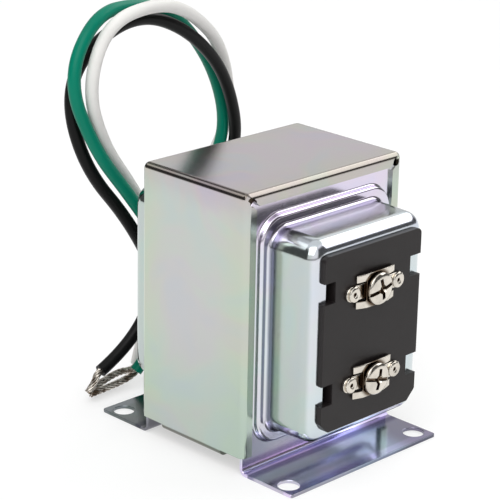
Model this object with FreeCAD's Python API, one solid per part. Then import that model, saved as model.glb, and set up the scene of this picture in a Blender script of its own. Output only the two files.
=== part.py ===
import FreeCAD, Part
import math
import os

# Doorbell transformer, millimetres, +Z up, origin at the centre of the four foot holes on the floor.
# The screw terminals face -Y, the supply leads leave the rear bell towards +Y.

Vector = FreeCAD.Vector
ALONG_X = Vector(1, 0, 0)
ALONG_Y = Vector(0, 1, 0)
ALONG_Z = Vector(0, 0, 1)

# How far a cutter passes a surface, and how near two places count as one
over = 1.0
near = 0.02

# Laminations: E and I plates standing upright, their centre leg lying along X
leg = 10.0
centre_leg = 20.0
window_length = 30.0
window_height = 10.0
stack_depth = 31.5

# Sheet metal of the wrap and the two bells
sheet = 0.8
bend_inside = 0.7
tab_height = 2.9
tab_width = 20.0
tab_length = 9.0
lip_width = 3.2
mitre_gap = 0.6
relief_r = 1.0
relief_inset = 2.1
flange_clearance = 0.1

# Packing above and below the core
pad_thickness = 0.8
packing_thickness = 3.1
packing_margin = 1.0

# Drawn form of the bells: flat rim, low ledge, then the dome with drafted walls
rim_side = 3.5
rim_top = 5.6
rim_bottom = 6.4
rim_corner = 3.2
ledge_rise = 1.5
ledge_side_width = 2.2
ledge_end_width = 2.8
ledge_corner = 6.5
ledge_round = 0.8
ledge_root = 0.6
front_dome_rise = 14.65
rear_dome_rise = 12.0
dome_corner = 5.2
dome_round = 3.4
dome_root = 1.0
dome_draft = 0.5
foot_length = 16.85
foot_bend = 1.0
foot_hole_r = 2.6
foot_hole_side = 3.4
foot_hole_front = 4.2
foot_corner = 0.8

# Bobbin and windings around the centre leg
bobbin_clearance = 0.3
bobbin_wall = 1.2
bobbin_flange = 1.0
bobbin_corner = 0.6
flange_corner = 1.5
flange_gap = 0.5
bobbin_reach = 6.0
winding_build = 4.0
winding_corner = 4.0
tape_thickness = 0.4

# Insulation sheets between the coil and the bells
insulator_thickness = 0.4
insulator_side_gap = 2.4
insulator_end_gap = 4.2
insulator_corner = 2.0
wire_hole_clearance = 0.3

# Terminal board, snapped into a window of the front bell
board_width = 32.3
board_height = 42.8
board_thickness = 1.35
board_chamfer = 2.6
board_round = 1.5
chamfer_round = 0.8
notch_height = 5.0
notch_depth = 3.6
notch_spacing = 24.7
notch_lift = 0.25
window_side = 14.2
window_end = 19.0
window_corner = 3.0
plinth_clearance = 0.2
plinth_depth = 1.6
snap_width = 5.0
snap_reach = 0.7
snap_spacing = 14.0
snap_play = 0.1
snap_slope = 0.6
snap_root = 1.0

# Screw terminals
terminal_drop = 0.1
terminal_spacing = 22.1
plate_width = 3.6
plate_middle_r = 3.5
plate_thickness = 0.8
eyelet_clearance = 1.45
eyelet_edge = 2.3
eyelet_shank_r = 1.2
eyelet_bore_r = 0.7
eyelet_head_r = 1.9
eyelet_head = 0.7
eyelet_round = 0.5
screw_r = 2.0
screw_clearance = 0.3
screw_length = 6.6
screw_chamfer = 0.4
screw_head_r = 3.85
screw_head = 1.5
screw_head_round = 0.8
slot_width = 0.9
slot_depth = 0.8
cross_length = 4.6
cross_depth = 1.0
slot_angle = 25.0
saddle_width = 7.8
saddle_thickness = 0.6
saddle_clearance = 0.1
ear_length = 2.0
ear_width = 1.9
ear_angle = 10.0
tag_thickness = 0.5
tag_width = 5.6
tag_ear = 3.6
tag_ear_width = 3.4
tag_ear_side = 6.5
wire_r = 0.6

# Lead bushing in the rear bell and what is inside it
bushing_x = 8.0
bushing_z = 32.2
bushing_r = 5.2
bushing_flange_r = 6.6
bushing_flange = 1.5
bushing_collar = 0.8
bushing_groove = 0.3
bushing_round = 0.6
lead_r = 1.6
lead_circle = 2.5
splice_r = 2.0
splice_length = 7.0
splice_round = 0.5
conductor_r = 0.9
fuse_r = 2.0
fuse_length = 7.5
fuse_round = 0.6
fuse_wire_r = 0.5
fuse_wire = 1.2
wire_bend = 1.4
wire_straight = 0.3
lug_thickness = 0.8
lug_width = 5.2
lug_barrel = 5.0
lug_grip = 0.5
rivet_r = 1.5
rivet_head_r = 2.6
rivet_head = 1.0
rivet_round = 0.7
rivet_tail_r = 2.2
rivet_tail = 0.6
lug_neck = 1.5
black_drop = 7.0
black_run = 2.0
white_run = 1.5
green_run = 5.4

# Free leads: straight way out of the bushing, then points chosen by hand up to the end of the insulation,
# and the tip of the bared conductor
black_exit = 11.0
green_exit = 10.5
white_exit = 12.5
strand_straight = 2.5
arc_share = 0.45
black_route = [
    (17.5, 52.5, 32.5), (30, 54.5, 39), (37.5, 50, 53), (29.5, 45.5, 75), (14.5, 43, 89.5),
    (-4, 43, 96.5), (-22, 42.5, 92), (-30, 43, 78.5), (-23.5, 40, 61.5), (-9.5, 39, 44.5),
    (-4.5, 37.5, 28), (-10, 38, 14.5), (-22, 38, 8.5),
]
green_route = [
    (14.5, 52, 37), (26, 54.5, 43), (34.5, 53, 57), (28.5, 50.5, 75), (14, 48, 93.5),
    (-3.5, 44.5, 100.5), (-21.5, 40.5, 99), (-31.5, 38.5, 84), (-24.5, 36.5, 66.5), (-12.5, 36.5, 52.5),
    (-2.5, 37, 39), (2, 37, 25), (-1, 38, 12), (-13, 40, 4.5),
]
white_route = [
    (12.5, 55.5, 34.5), (25, 59.5, 42), (38.5, 56, 59), (31, 48, 80.5), (14, 42.5, 94.5),
    (-2.5, 38.5, 100.5), (-19, 38.5, 96.5), (-26.5, 37.5, 81.5), (-19, 38, 66.5), (-8.5, 40.5, 53.5),
    (-0.5, 42.5, 40), (1.5, 43, 26), (-3, 43, 13), (-12.5, 43.5, 7),
]
black_tip = (-25.5, 38, 3.4)
green_tip = (-22.5, 40.5, 1.4)
white_tip = (-21.5, 43, 2.2)

# Heights and half sizes that follow
lam_height = 2 * (leg + window_height) + centre_leg
lam_width = window_length + 2 * leg
core_side = lam_width / 2
core_face = stack_depth / 2
core_bottom = tab_height + sheet + pad_thickness
core_top = core_bottom + lam_height
core_z = core_bottom + lam_height / 2
wrap_side = core_side + sheet
wrap_face = core_face + 2 * sheet
wrap_inner_top = core_top + packing_thickness
wrap_top = wrap_inner_top + sheet
lip_back = wrap_face - sheet
rim_half = core_side - bend_inside - flange_clearance
rim_z = wrap_inner_top - bend_inside - flange_clearance
ledge_side = core_side - rim_side
ledge_low = rim_bottom
ledge_high = wrap_inner_top - rim_top
bell_z = (ledge_low + ledge_high) / 2
dome_side = ledge_side - ledge_side_width
dome_half = (ledge_high - ledge_low) / 2 - ledge_end_width
ledge_face = lip_back + ledge_rise
front_face = lip_back + front_dome_rise
front_inner = front_face - sheet
rear_face = lip_back + rear_dome_rise
rear_inner = rear_face - sheet
terminal_z = bell_z - terminal_drop
board_face = front_face + board_thickness
plinth_back = front_face - plinth_depth
saddle_flat = screw_head_r + saddle_clearance
eyelet_spacing = 2 * (saddle_flat + eyelet_clearance + eyelet_head_r)
plate_length = eyelet_spacing + 2 * eyelet_edge
plate_face = board_face + plate_thickness
saddle_face = plate_face + saddle_thickness
tag_back = plinth_back - tag_thickness
coil_half = bobbin_reach + core_face + bobbin_clearance
tube_y = core_face + bobbin_clearance + bobbin_wall
tube_z = centre_leg / 2 + bobbin_clearance + bobbin_wall
flange_z = centre_leg / 2 + window_height - flange_gap
coil_end = window_length / 2 - bobbin_clearance
tube_corner = bobbin_corner + bobbin_wall
tape_y = tube_y + winding_build + tape_thickness
insulator_face = coil_half + insulator_thickness
insulator_side = dome_side - sheet - insulator_side_gap
insulator_end = dome_half - sheet - insulator_end_gap
lead_plane = insulator_face + max(lead_r, splice_r)
bushing_face = rear_face + bushing_flange
bushing_inner = rear_inner - bushing_collar
inner_bend = bushing_inner - lead_plane
wire_turn = wire_bend + wire_straight


def box(x0, x1, y0, y1, z0, z1):
    return Part.makeBox(x1 - x0, y1 - y0, z1 - z0, Vector(x0, y0, z0))


def cylinder(radius, start, direction, length):
    return Part.makeCylinder(radius, length, start, direction)


def fuse(first, *others):
    return first.fuse(list(others)).removeSplitter()


def cut(first, *others):
    return first.cut(list(others))


def to_rear(shape):
    """Turn a piece built for the front side round to the rear side."""
    return shape.rotated(Vector(0, 0, 0), ALONG_Z, 180)


def rounded_wire(half_x, z0, z1, radius, y):
    """Rounded rectangle in a plane of constant Y."""
    k = radius * (1 - math.sqrt(0.5))
    edges = []
    corners = [(half_x, z1, -1, -1), (-half_x, z1, 1, -1), (-half_x, z0, 1, 1), (half_x, z0, -1, 1)]
    arcs = []
    for x, z, sx, sz in corners:
        on_z = Vector(x + sx * radius, y, z)
        on_x = Vector(x, y, z + sz * radius)
        arcs.append((on_x, Vector(x + sx * k, y, z + sz * k), on_z))
    order = [arcs[0], tuple(reversed(arcs[1])), arcs[2], tuple(reversed(arcs[3]))]
    for index, (start, middle, end) in enumerate(order):
        edges.append(Part.Arc(start, middle, end).toShape())
        edges.append(Part.makeLine(end, order[(index + 1) % 4][0]))
    return Part.Wire(edges)


def rounded_block(half_x, z0, z1, radius, y0, y1):
    face = Part.Face(rounded_wire(half_x, z0, z1, radius, y0))
    return face.extrude(Vector(0, y1 - y0, 0))


def flat_edges(shape, y, half_x=math.inf, half_z=math.inf, middle_z=0.0):
    """Edges that lie in one plane of constant Y and within the given half sizes."""
    found = []
    for edge in shape.Edges:
        span = edge.BoundBox
        in_plane = abs(span.YMin - y) < near and abs(span.YMax - y) < near
        in_x = max(-span.XMin, span.XMax) < half_x + near
        in_z = max(middle_z - span.ZMin, span.ZMax - middle_z) < half_z + near
        if in_plane and in_x and in_z:
            found.append(edge)
    return found


def drawn_form(dome_face, offset):
    """Ledge and dome of a bell facing front: a solid shrunk inwards by offset, reaching back to the core."""
    ledge = rounded_block(ledge_side - offset, ledge_low + offset, ledge_high - offset, ledge_corner - offset,
                          -core_face, -ledge_face + offset)
    if offset == 0:
        ledge = ledge.makeFillet(ledge_round, flat_edges(ledge, -ledge_face))
    dome_low = bell_z - dome_half + offset
    dome_high = bell_z + dome_half - offset
    back = rounded_wire(dome_side - offset, dome_low, dome_high, dome_corner - offset, -core_face)
    front = rounded_wire(dome_side - dome_draft - offset, dome_low + dome_draft, dome_high - dome_draft,
                         dome_corner - dome_draft - offset, -dome_face + offset)
    dome = Part.makeLoft([back, front], True, True)
    dome = dome.makeFillet(dome_round - offset, flat_edges(dome, -dome_face + offset))
    form = fuse(ledge, dome)
    root = flat_edges(form, -ledge_face + offset, dome_side, dome_half, bell_z)
    return form.makeFillet(dome_root + offset, root)


def bell_blank():
    """Flat rim and foot of a bell facing front, bent from one strip."""
    back = -core_face
    front = -lip_back
    centre_y = front - foot_bend
    centre_z = sheet + foot_bend
    outer = foot_bend + sheet
    foot_end = back - foot_length
    k = math.sqrt(0.5)
    edges = [
        Part.makeLine(Vector(0, back, rim_z), Vector(0, back, centre_z)),
        Part.Arc(Vector(0, back, centre_z), Vector(0, centre_y + outer * k, centre_z - outer * k),
                 Vector(0, centre_y, 0)).toShape(),
        Part.makeLine(Vector(0, centre_y, 0), Vector(0, foot_end, 0)),
        Part.makeLine(Vector(0, foot_end, 0), Vector(0, foot_end, sheet)),
        Part.makeLine(Vector(0, foot_end, sheet), Vector(0, centre_y, sheet)),
        Part.Arc(Vector(0, centre_y, sheet), Vector(0, centre_y + foot_bend * k, centre_z - foot_bend * k),
                 Vector(0, front, centre_z)).toShape(),
        Part.makeLine(Vector(0, front, centre_z), Vector(0, front, rim_z)),
        Part.makeLine(Vector(0, front, rim_z), Vector(0, back, rim_z)),
    ]
    strip = Part.Face(Part.Wire(edges)).extrude(Vector(2 * core_side, 0, 0))
    strip.translate(Vector(-core_side, 0, 0))
    corners = [edge for edge in strip.Edges
               if edge.BoundBox.XLength < near and abs(edge.BoundBox.YMin - foot_end) < near
               and edge.BoundBox.YLength < near]
    strip = strip.makeFillet(foot_corner, corners)
    cutters = []
    for side in (-1, 1):
        x_in = side * rim_half
        x_out = side * (core_side + over)
        cutters.append(box(min(x_in, x_out), max(x_in, x_out), front - over, back + over,
                           core_bottom - flange_clearance, rim_z + over))
        hole = Vector(side * (core_side - foot_hole_side), foot_end + foot_hole_front, -1)
        cutters.append(cylinder(foot_hole_r, hole, ALONG_Z, sheet + 2 * over))
    strip = cut(strip, *cutters)
    rim_corners = [edge for edge in strip.Edges
                   if edge.BoundBox.XLength < near and edge.BoundBox.ZMin > rim_z - near]
    return strip.makeFillet(rim_corner, rim_corners)


def bell(dome_face):
    """Drawn bell facing front: blank plus the outside of the drawn form, less its inside."""
    outside = fuse(bell_blank(), drawn_form(dome_face, 0))
    rim_edges = flat_edges(outside, -lip_back, ledge_side, (ledge_high - ledge_low) / 2, bell_z)
    outside = outside.makeFillet(ledge_root, rim_edges)
    return cut(outside, drawn_form(dome_face, sheet))


def front_bell():
    window = rounded_block(window_side, bell_z - window_end, bell_z + window_end, window_corner,
                           -front_face - over, -front_inner + over)
    return cut(bell(front_face), window)


def rear_bell():
    hole = cylinder(bushing_r, Vector(bushing_x, rear_inner - over, bushing_z), ALONG_Y, sheet + 2 * over)
    rivet = cylinder(rivet_r, Vector(bushing_x, rear_inner - over, rivet_z), ALONG_Y, sheet + 2 * over)
    return cut(to_rear(bell(rear_face)), hole, rivet)


def wrap_block(inset, bottom):
    """Outside of the wrap as a rounded block, shrunk by inset."""
    block = box(-wrap_side + inset, wrap_side - inset, -wrap_face + inset, wrap_face - inset,
                bottom, wrap_top - inset)
    rounded = []
    for edge in block.Edges:
        span = edge.BoundBox
        upright = span.XLength < near and span.YLength < near
        if upright or span.ZMin > wrap_top - inset - near:
            rounded.append(edge)
    return block.makeFillet(bend_inside + sheet - inset, rounded)


def prism(points, y0, y1):
    """Extrude a polygon of (x, z) points from y0 to y1."""
    wire = Part.makePolygon([Vector(x, y0, z) for x, z in points + points[:1]])
    return Part.Face(wire).extrude(Vector(0, y1 - y0, 0))


def case_wrap():
    """One strip folded left, top, right, with lips in front and behind and tabs folded under the core."""
    shell = cut(wrap_block(0, core_bottom), wrap_block(sheet, core_bottom - over))
    lip_x = wrap_side - lip_width
    lip_z = wrap_top - lip_width
    shell = cut(shell, box(-lip_x, lip_x, -wrap_face - over, wrap_face + over, core_bottom - over, lip_z))
    reach = lip_width + over
    half = mitre_gap * math.sqrt(0.5)
    for side in (-1, 1):
        for face in (-1, 1):
            x0, x1 = side * (lip_x - over), side * (lip_x + reach)
            z0, z1 = lip_z - over, lip_z + reach
            slit = [(x0 - side * half, z0 + half), (x0 + side * half, z0 - half),
                    (x1 + side * half, z1 - half), (x1 - side * half, z1 + half)]
            relief = cylinder(relief_r, Vector(side * (wrap_side - relief_inset), face * core_face,
                                               wrap_top - relief_inset), ALONG_Y * face, wrap_face)
            y0, y1 = sorted((face * (wrap_face + over), face * lip_back))
            shell = cut(shell, prism(slit, y0, y1), relief)
    tabs = []
    outer = wrap_side
    bend = sheet
    k = math.sqrt(0.5)
    centre_x = core_side - bend
    centre_z = tab_height + sheet + bend
    far = centre_x - tab_length
    top = core_bottom + over
    for side in (-1, 1):
        def at(x, z):
            return Vector(side * x, -tab_width / 2, z)
        edges = [
            Part.makeLine(at(outer, top), at(outer, centre_z)),
            Part.Arc(at(outer, centre_z), at(centre_x + (bend + sheet) * k, centre_z - (bend + sheet) * k),
                     at(centre_x, tab_height)).toShape(),
            Part.makeLine(at(centre_x, tab_height), at(far, tab_height)),
            Part.makeLine(at(far, tab_height), at(far, tab_height + sheet)),
            Part.makeLine(at(far, tab_height + sheet), at(centre_x, tab_height + sheet)),
            Part.Arc(at(centre_x, tab_height + sheet), at(centre_x + bend * k, centre_z - bend * k),
                     at(core_side, centre_z)).toShape(),
            Part.makeLine(at(core_side, centre_z), at(core_side, top)),
            Part.makeLine(at(core_side, top), at(outer, top)),
        ]
        tabs.append(Part.Face(Part.Wire(edges)).extrude(Vector(0, tab_width, 0)))
    return fuse(shell, *tabs)


def core_e_stack():
    back = -core_side
    tip = window_length / 2
    root = -window_length / 2
    block = box(back, tip, -core_face, core_face, core_bottom, core_top)
    slots = []
    for side in (-1, 1):
        z0, z1 = sorted((core_z + side * centre_leg / 2, core_z + side * (centre_leg / 2 + window_height)))
        slots.append(box(root, tip + over, -core_face - over, core_face + over, z0, z1))
    return cut(block, *slots)


def core_i_stack():
    return box(window_length / 2, core_side, -core_face, core_face, core_bottom, core_top)


def core_pad():
    side = core_side - sheet
    return box(-side, side, -core_face, core_face, core_bottom - pad_thickness, core_bottom)


def core_packing():
    side = core_side - packing_margin
    return box(-side, side, -core_face, core_face, core_top, wrap_inner_top)


def coil_ring(x0, x1, half_y, half_z, radius, hole_y, hole_z, hole_radius):
    """Ring around the centre leg, from x0 to x1, with rounded corners."""
    def block(along_y, along_z, corner, start, end):
        shape = rounded_block(along_y, core_z - along_z, core_z + along_z, corner, 0, end - start)
        shape = shape.rotated(Vector(0, 0, 0), ALONG_Z, -90)
        shape.translate(Vector(start, 0, 0))
        return shape
    hole = block(hole_y, hole_z, hole_radius, x0 - over, x1 + over)
    return cut(block(half_y, half_z, radius, x0, x1), hole)


def bobbin():
    hole_y = core_face + bobbin_clearance
    hole_z = centre_leg / 2 + bobbin_clearance
    tube = coil_ring(-coil_end, coil_end, tube_y, tube_z, tube_corner, hole_y, hole_z, bobbin_corner)
    flanges = []
    for start in (-coil_end, -bobbin_flange / 2, coil_end - bobbin_flange):
        flanges.append(coil_ring(start, start + bobbin_flange, coil_half, flange_z, flange_corner,
                                 hole_y, hole_z, bobbin_corner))
    return fuse(tube, *flanges)


def section_span(side):
    """X range between an end flange and the divider."""
    first = side * bobbin_flange / 2
    last = side * (coil_end - bobbin_flange)
    return tuple(sorted((first, last)))


def winding(side):
    x0, x1 = section_span(side)
    return coil_ring(x0, x1, tube_y + winding_build, tube_z + winding_build, winding_corner, tube_y, tube_z,
                     tube_corner)


def tape(side):
    x0, x1 = section_span(side)
    half_y = tube_y + winding_build
    half_z = tube_z + winding_build
    return coil_ring(x0, x1, half_y + tape_thickness, half_z + tape_thickness,
                     winding_corner + tape_thickness, half_y, half_z, winding_corner)


def insulator(holes):
    """Pressboard sheet on the bobbin flanges, front side, with holes for the wires at (x, z)."""
    sheet_body = rounded_block(insulator_side, bell_z - insulator_end, bell_z + insulator_end,
                               insulator_corner, -insulator_face, -coil_half)
    cutters = [cylinder(radius + wire_hole_clearance, Vector(x, -insulator_face - over, z), ALONG_Y,
                        insulator_thickness + 2 * over) for x, z, radius in holes]
    return cut(sheet_body, *cutters)


def terminal_board():
    half_x = board_width / 2
    half_z = board_height / 2
    low = bell_z - half_z
    high = bell_z + half_z
    outline = [(-half_x, low + board_chamfer), (-half_x + board_chamfer, low), (half_x - board_chamfer, low),
               (half_x, low + board_chamfer), (half_x, high), (-half_x, high)]
    plate = prism(outline, -board_face, -front_face)
    corners = [edge for edge in plate.Edges if edge.BoundBox.XLength < near and edge.BoundBox.ZLength < near]
    plate = plate.makeFillet(board_round, [edge for edge in corners if edge.BoundBox.ZMin > high - near])
    corners = [edge for edge in plate.Edges if edge.BoundBox.XLength < near and edge.BoundBox.ZLength < near]
    plate = plate.makeFillet(chamfer_round, [edge for edge in corners if edge.BoundBox.ZMin < bell_z])
    plinth = rounded_block(window_side - plinth_clearance, bell_z - window_end + plinth_clearance,
                           bell_z + window_end - plinth_clearance, window_corner - plinth_clearance,
                           -front_face, -plinth_back)
    snaps = [snap(side, x) for side in (-1, 1) for x in (-snap_spacing / 2, snap_spacing / 2)]
    body = fuse(plate, plinth, *snaps)
    cutters = []
    for side in (-1, 1):
        for level in (-1, 1):
            middle = bell_z + notch_lift + level * notch_spacing / 2
            x0, x1 = sorted((side * (half_x - notch_depth), side * (half_x + over)))
            cutters.append(box(x0, x1, -board_face - over, -plinth_back + over, middle - notch_height / 2,
                               middle + notch_height / 2))
    for z in terminal_heights():
        for side in (-1, 1):
            cutters.append(cylinder(eyelet_shank_r, Vector(side * eyelet_spacing / 2, -board_face - over, z),
                                    ALONG_Y, board_thickness + plinth_depth + 2 * over))
        cutters.append(cylinder(screw_r + screw_clearance, Vector(0, -board_face - over, z), ALONG_Y,
                                board_thickness + plinth_depth + 2 * over))
    return cut(body, *cutters)


def snap(side, x):
    """Hook behind the edge of the bell's window."""
    edge_z = bell_z + side * (window_end - plinth_clearance)
    front = -front_inner + snap_play
    back = -plinth_back + snap_slope
    root = edge_z - side * snap_root
    tip = edge_z + side * snap_reach
    points = [Vector(x - snap_width / 2, front, root), Vector(x - snap_width / 2, front, tip),
              Vector(x - snap_width / 2, back, edge_z), Vector(x - snap_width / 2, back, root)]
    face = Part.Face(Part.makePolygon(points + points[:1]))
    return face.extrude(Vector(snap_width, 0, 0))


def terminal_heights():
    return (terminal_z + terminal_spacing / 2, terminal_z - terminal_spacing / 2)


def terminal_plate(z):
    half = plate_length / 2
    end_r = plate_width / 2
    strip = box(-half + end_r, half - end_r, -plate_face, -board_face, z - end_r, z + end_r)
    ends = [cylinder(end_r, Vector(side * (half - end_r), -plate_face, z), ALONG_Y, plate_thickness)
            for side in (-1, 1)]
    holes = [cylinder(eyelet_shank_r, Vector(side * eyelet_spacing / 2, -plate_face - over, z), ALONG_Y,
                      plate_thickness + 2 * over) for side in (-1, 1)]
    thread = cylinder(screw_r, Vector(0, -plate_face - over, z), ALONG_Y, plate_thickness + 2 * over)
    middle = cylinder(plate_middle_r, Vector(0, -plate_face, z), ALONG_Y, plate_thickness)
    return cut(fuse(strip, middle, *ends), *holes, thread)


def eyelet(x, z):
    """Hollow rivet through strip, board and solder tag."""
    shank = cylinder(eyelet_shank_r, Vector(x, -plate_face - eyelet_head, z), ALONG_Y,
                     plate_face + 2 * eyelet_head - tag_back)
    front = cylinder(eyelet_head_r, Vector(x, -plate_face - eyelet_head, z), ALONG_Y, eyelet_head)
    back = cylinder(eyelet_head_r, Vector(x, -tag_back, z), ALONG_Y, eyelet_head)
    bore = cylinder(eyelet_bore_r, Vector(x, -plate_face - eyelet_head - over, z), ALONG_Y,
                    plate_face + 2 * (eyelet_head + over) - tag_back)
    body = fuse(shank, front, back)
    body = body.makeFillet(eyelet_round, flat_edges(body, -plate_face - eyelet_head))
    return cut(body, bore)


def saddle_washer(z):
    """Wire clamp: flat middle, ends bent forward and notched into four flared ears."""
    flat = saddle_flat
    reach = flat + ear_length
    rise = ear_length * math.tan(math.radians(ear_angle))
    y0 = -plate_face
    y1 = -saddle_face
    outline = [(flat, y0), (reach, y0 - rise), (reach, y1 - rise), (flat, y1), (-flat, y1),
               (-reach, y1 - rise), (-reach, y0 - rise), (-flat, y0)]
    points = [Vector(x, y, z - saddle_width / 2) for x, y in outline]
    body = Part.Face(Part.makePolygon(points + points[:1])).extrude(Vector(0, 0, saddle_width))
    gap = saddle_width / 2 - ear_width
    cutters = [cylinder(screw_r + screw_clearance, Vector(0, -saddle_face - over, z), ALONG_Y,
                        saddle_thickness + 2 * over)]
    for side in (-1, 1):
        x0, x1 = sorted((side * flat, side * (reach + over)))
        cutters.append(box(x0, x1, y1 - rise - over, y0 + over, z - gap, z + gap))
    return cut(body, *cutters)


def terminal_screw(z, turn):
    """Pan head with slot and cross, shank threaded through the strip."""
    top = -saddle_face - screw_head
    head = cylinder(screw_head_r, Vector(0, top, z), ALONG_Y, screw_head)
    head = head.makeFillet(screw_head_round, flat_edges(head, top))
    shank = cylinder(screw_r, Vector(0, -saddle_face, z), ALONG_Y, screw_length)
    shank = shank.makeChamfer(screw_chamfer, flat_edges(shank, -saddle_face + screw_length))
    body = fuse(head, shank)
    slot = box(-screw_head_r - over, screw_head_r + over, top - over, top + slot_depth, z - slot_width / 2,
               z + slot_width / 2)
    cross = box(-slot_width / 2, slot_width / 2, top - over, top + cross_depth, z - cross_length / 2,
                z + cross_length / 2)
    recess = slot.fuse(cross).rotated(Vector(0, 0, z), ALONG_Y, turn)
    return cut(body, recess)


def solder_tag(z, towards):
    """Strip behind the board, with an ear for the secondary wire."""
    half = plate_length / 2
    strip = box(-half, half, -plinth_back, -tag_back, z - tag_width / 2, z + tag_width / 2)
    z0, z1 = sorted((z, z + towards * (tag_width / 2 + tag_ear)))
    ear = box(tag_ear_side - tag_ear_width / 2, tag_ear_side + tag_ear_width / 2, -plinth_back, -tag_back,
              z0, z1)
    holes = [cylinder(eyelet_shank_r, Vector(side * eyelet_spacing / 2, -plinth_back - over, z), ALONG_Y,
                      tag_thickness + 2 * over) for side in (-1, 1)]
    screw = cylinder(screw_r + screw_clearance, Vector(0, -plinth_back - over, z), ALONG_Y,
                     tag_thickness + 2 * over)
    wire = cylinder(wire_r, Vector(tag_ear_side, -plinth_back - over, wire_z(z, towards)), ALONG_Y,
                    tag_thickness + 2 * over)
    return cut(fuse(strip, ear), *holes, screw, wire)


def wire_z(z, towards):
    return z + towards * (tag_width / 2 + tag_ear / 2)


def secondary_wire(z, towards):
    """Wire from the secondary winding out to the solder tag."""
    start = Vector(tag_ear_side, -plinth_back, wire_z(z, towards))
    return cylinder(wire_r, start, ALONG_Y, plinth_back - tape_y)


def rounded_path(points, radii):
    """Straight runs joined by tangent arcs of the given radii."""
    edges = []
    start = points[0]
    for index in range(1, len(points) - 1):
        corner = points[index]
        before = (points[index - 1] - corner).normalize()
        after = (points[index + 1] - corner).normalize()
        turn = math.pi - before.getAngle(after)
        reach = radii[index - 1] * math.tan(turn / 2)
        first = corner + before * reach
        last = corner + after * reach
        bisector = (before + after).normalize()
        to_centre = radii[index - 1] / math.cos(turn / 2)
        middle = corner + bisector * (to_centre - radii[index - 1])
        edges.append(Part.makeLine(start, first))
        edges.append(Part.Arc(first, middle, last).toShape())
        start = last
    edges.append(Part.makeLine(start, points[-1]))
    return Part.Wire(edges)


def tube(points, radii, radius):
    path = rounded_path(points, radii)
    direction = points[1] - points[0]
    profile = Part.Wire(Part.makeCircle(radius, points[0], direction))
    return path.makePipeShell([profile], True, False)


def arc_radii(points):
    """Radius of each arc of a cord: as large as its two runs allow."""
    radii = []
    for before, corner, after in zip(points, points[1:], points[2:]):
        turn = (corner - before).getAngle(after - corner)
        shorter = min((corner - before).Length, (after - corner).Length)
        radii.append(arc_share * shorter / math.tan(turn / 2))
    return radii


def free_lead(bore, exit_length, route):
    """Insulated lead outside the bell, starting face to face with the bushing."""
    x, z = bore
    points = [Vector(x, bushing_face, z), Vector(x, bushing_face + exit_length, z)]
    points += [Vector(*place) for place in route]
    radii = arc_radii(points)
    lead = tube(points, radii, lead_r)
    length = rounded_path(points, radii).Length
    share = lead.Volume / (math.pi * lead_r ** 2 * length)
    print("lead", round(length, 1), "radii", [round(r, 1) for r in radii], "volume share", round(share, 4))
    return lead


def lead_strands(route, tip):
    """Twisted conductor bared at the end of a lead."""
    end = Vector(*route[-1])
    along = (end - Vector(*route[-2])).normalize()
    points = [end, end + along * strand_straight, Vector(*tip)]
    return tube(points, arc_radii(points), conductor_r)


def bore_place(angle):
    """Centre of a lead bore in the bushing, as (x, z)."""
    turn = math.radians(angle)
    return (bushing_x + lead_circle * math.cos(turn), bushing_z + lead_circle * math.sin(turn))


black_bore = bore_place(330)
white_bore = bore_place(210)
green_bore = bore_place(90)
black_turn_z = black_bore[1] - inner_bend - black_drop
black_splice_x = black_bore[0] - inner_bend - black_run
white_splice_x = white_bore[0] - inner_bend - white_run
lug_z = green_bore[1] + inner_bend + green_run
rivet_z = lug_z + lug_barrel + lug_width / 2 + lug_neck


def lead_bushing():
    """Nylon bushing snapped into the rear bell, with one bore for each lead."""
    def disc(radius, y0, y1):
        return cylinder(radius, Vector(bushing_x, y0, bushing_z), ALONG_Y, y1 - y0)
    flange = disc(bushing_flange_r, rear_face, bushing_face)
    flange = flange.makeFillet(bushing_round, flat_edges(flange, bushing_face))
    neck = disc(bushing_r, rear_inner, rear_face)
    collar = disc(bushing_r + bushing_groove, bushing_inner, rear_inner)
    bores = [cylinder(lead_r, Vector(x, bushing_inner - over, z), ALONG_Y,
                      bushing_face - bushing_inner + 2 * over)
             for x, z in (black_bore, white_bore, green_bore)]
    return cut(fuse(flange, neck, collar), *bores)


def through_bushing(bore, then):
    """Points of an inner lead: from the bushing's outer face in, then along the given points."""
    x, z = bore
    inner = [Vector(px, lead_plane, pz) for px, pz in then]
    return [Vector(x, bushing_face, z), Vector(x, lead_plane, z)] + inner


def black_lead_inner():
    points = through_bushing(black_bore, [(black_bore[0], black_turn_z), (black_splice_x, black_turn_z)])
    return tube(points, [inner_bend, inner_bend], lead_r)


def white_lead_inner():
    return tube(through_bushing(white_bore, [(white_splice_x, white_bore[1])]), [inner_bend], lead_r)


def green_lead_inner():
    return tube(through_bushing(green_bore, [(green_bore[0], lug_z)]), [inner_bend], lead_r)


def splice(x, z):
    """Crimped sleeve lying along -X from the end of an inner lead."""
    body = cylinder(splice_r, Vector(x - splice_length, lead_plane, z), ALONG_X, splice_length)
    return body.makeFillet(splice_round, [edge for edge in body.Edges if edge.BoundBox.XLength < near])


def thermal_fuse():
    """Fuse in line with the black splice; its far wire turns in to the primary winding."""
    start = black_splice_x - splice_length
    body_x = start - fuse_wire
    far = body_x - fuse_length
    body = cylinder(fuse_r, Vector(far, lead_plane, black_turn_z), ALONG_X, fuse_length)
    body = body.makeFillet(fuse_round, [edge for edge in body.Edges if edge.BoundBox.XLength < near])
    near_wire = cylinder(fuse_wire_r, Vector(body_x, lead_plane, black_turn_z), ALONG_X, fuse_wire)
    return fuse(body, near_wire, winding_wire(far, black_turn_z))


def winding_wire(x, z):
    """Bare wire from a part at x, bent in through the rear insulator to the primary's tape."""
    points = [Vector(x, lead_plane, z), Vector(x - wire_turn, lead_plane, z),
              Vector(x - wire_turn, tape_y, z)]
    return tube(points, [wire_bend], fuse_wire_r)


def primary_wire():
    """Wire from the white splice to the primary winding."""
    return winding_wire(white_splice_x - splice_length, white_bore[1])


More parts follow.
